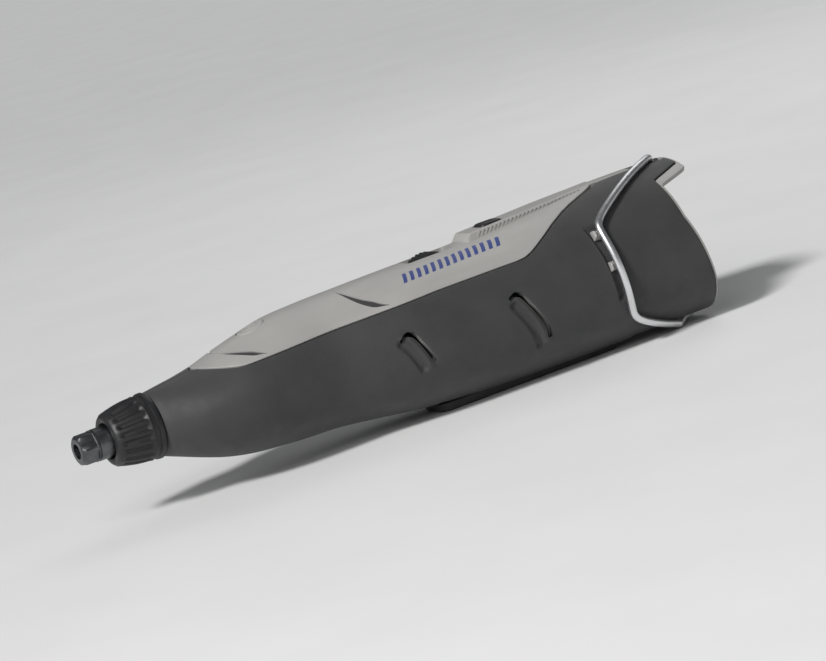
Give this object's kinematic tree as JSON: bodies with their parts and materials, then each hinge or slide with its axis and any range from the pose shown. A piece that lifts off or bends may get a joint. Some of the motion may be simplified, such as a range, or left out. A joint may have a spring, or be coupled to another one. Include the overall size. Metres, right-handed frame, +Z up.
{
  "type": "cordless rotary tool",
  "caption": "Tapered hand-held cordless rotary tool: rubber grip, light spine panel, screwed nose cap and collet, wire hanger bail and an open battery well at the rear.",
  "frame": {"origin": "bottom centre of the whole tool's box, on the surface that the tool rests on", "axes": "+X along the spindle towards the battery end, so the collet points to -X; +Z up, from the belly pad to the spine; the tool's middle plane is y = 0"},
  "size_m": [0.222, 0.0566, 0.0557],
  "materials": {
    "light_plastic": "light warm grey ABS with a fine spark texture",
    "grip_rubber": "dark grey soft overmoulded rubber, matte",
    "blue_plastic": "mid blue moulded plastic",
    "black_plastic": "black glass-filled nylon",
    "felt": "grey felt",
    "bright_steel": "ground steel",
    "bail_chrome": "bright plated steel wire",
    "dark_steel": "blackened steel",
    "sleeve_aluminium": "turned aluminium",
    "copper": "enamelled copper",
    "contact_brass": "brass contacts",
    "magnet_ferrite": "ferrite and carbon",
    "circuit_board": "green solder mask",
    "red_lead": "red insulated lead",
    "black_lead": "black insulated lead"
  },
  "bodies": {
    "casing": {"housing_left": "light_plastic", "housing_right": "light_plastic", "spine_panel": "light_plastic", "hanger_catch_left": "light_plastic", "hanger_catch_right": "light_plastic", "grip_left": "grip_rubber", "grip_right": "grip_rubber", "belly_pad": "grip_rubber", "accent_stripe_left": "blue_plastic", "accent_stripe_right": "blue_plastic", "lock_guide": "black_plastic", "motor_rear_plate": "black_plastic", "capacitor": "black_plastic", "speed_potentiometer": "black_plastic", "power_switch": "black_plastic", "battery_socket": "black_plastic", "terminal_block": "black_plastic", "front_bearing": "bright_steel", "rear_bearing": "bright_steel", "lock_spring": "bright_steel", "housing_screw_front": "dark_steel", "housing_screw_middle": "dark_steel", "housing_screw_spine": "dark_steel", "housing_screw_rear": "dark_steel", "motor_can": "dark_steel", "motor_front_plate": "dark_steel", "hanger_bush_upper": "dark_steel", "hanger_bush_lower": "dark_steel", "nose_sleeve": "sleeve_aluminium", "heat_sink": "sleeve_aluminium", "terminal_positive": "contact_brass", "terminal_data": "contact_brass", "terminal_negative": "contact_brass", "magnet_upper": "magnet_ferrite", "magnet_lower": "magnet_ferrite", "brush_left": "magnet_ferrite", "brush_right": "magnet_ferrite", "controller_board": "circuit_board", "switch_board": "circuit_board", "motor_lead_left": "red_lead", "battery_lead_positive": "red_lead", "motor_lead_right": "black_lead", "battery_lead_negative": "black_lead"},
    "spindle": {"spindle": "bright_steel", "lock_collar": "dark_steel", "cooling_fan": "black_plastic", "armature_core": "dark_steel", "winding_front": "copper", "winding_rear": "copper", "commutator": "copper"},
    "collet": {"collet": "bright_steel"},
    "collet_nut": {"collet_nut": "dark_steel"},
    "nose_seal": {"nose_seal": "felt"},
    "nose_cap": {"nose_cap": "black_plastic"},
    "lock_button": {"lock_button": "light_plastic", "lock_pin": "bright_steel"},
    "power_button": {"power_button": "black_plastic"},
    "speed_dial": {"speed_dial": "black_plastic"},
    "hanger": {"hanger_bail": "bail_chrome"}
  },
  "joints": [
    {"name": "spindle_spin", "type": "hinge", "parent": "casing", "child": "spindle", "pos_m": [0, 0, 0.027], "axis": [1, 0, 0], "continuous": true},
    {"name": "collet_slide", "type": "slide", "parent": "spindle", "child": "collet", "axis": [-1, 0, 0], "range_m": [0, 0.0028]},
    {"name": "collet_nut_turn", "type": "hinge", "parent": "collet", "child": "collet_nut", "pos_m": [-0.1055, 0, 0.027], "axis": [-1, 0, 0], "range_deg": [0, 1440]},
    {"name": "nose_seal_slide", "type": "slide", "parent": "casing", "child": "nose_seal", "axis": [-1, 0, 0], "range_m": [0, 0.007]},
    {"name": "nose_cap_turn", "type": "hinge", "parent": "nose_seal", "child": "nose_cap", "pos_m": [-0.0935, 0, 0.027], "axis": [-1, 0, 0], "range_deg": [0, 1260]},
    {"name": "lock_button_press", "type": "slide", "parent": "casing", "child": "lock_button", "axis": [0, 0, -1], "range_m": [0, 0.0024], "stiffness_N_per_m": 600, "springref_m": -0.001, "deforming": ["lock_spring"]},
    {"name": "power_button_press", "type": "slide", "parent": "casing", "child": "power_button", "axis": [0, 0, -1], "range_m": [0, 0.0008], "stiffness_N_per_m": 900, "springref_m": -0.0005},
    {"name": "speed_dial_turn", "type": "hinge", "parent": "casing", "child": "speed_dial", "pos_m": [0.0185, 0, 0.04006], "axis": [0, 1, 0], "range_deg": [-135, 135]},
    {"name": "hanger_swing", "type": "hinge", "parent": "casing", "child": "hanger", "pos_m": [0.1065, 0, 0.027], "axis": [0, 0, 1], "range_deg": [0, 270]}
  ],
  "couplings": [
    {"joint": "collet_nut_turn", "follows": "collet_slide", "rad_per_m": 8976},
    {"joint": "nose_cap_turn", "follows": "nose_seal_slide", "rad_per_m": 3141.6}
  ]
}
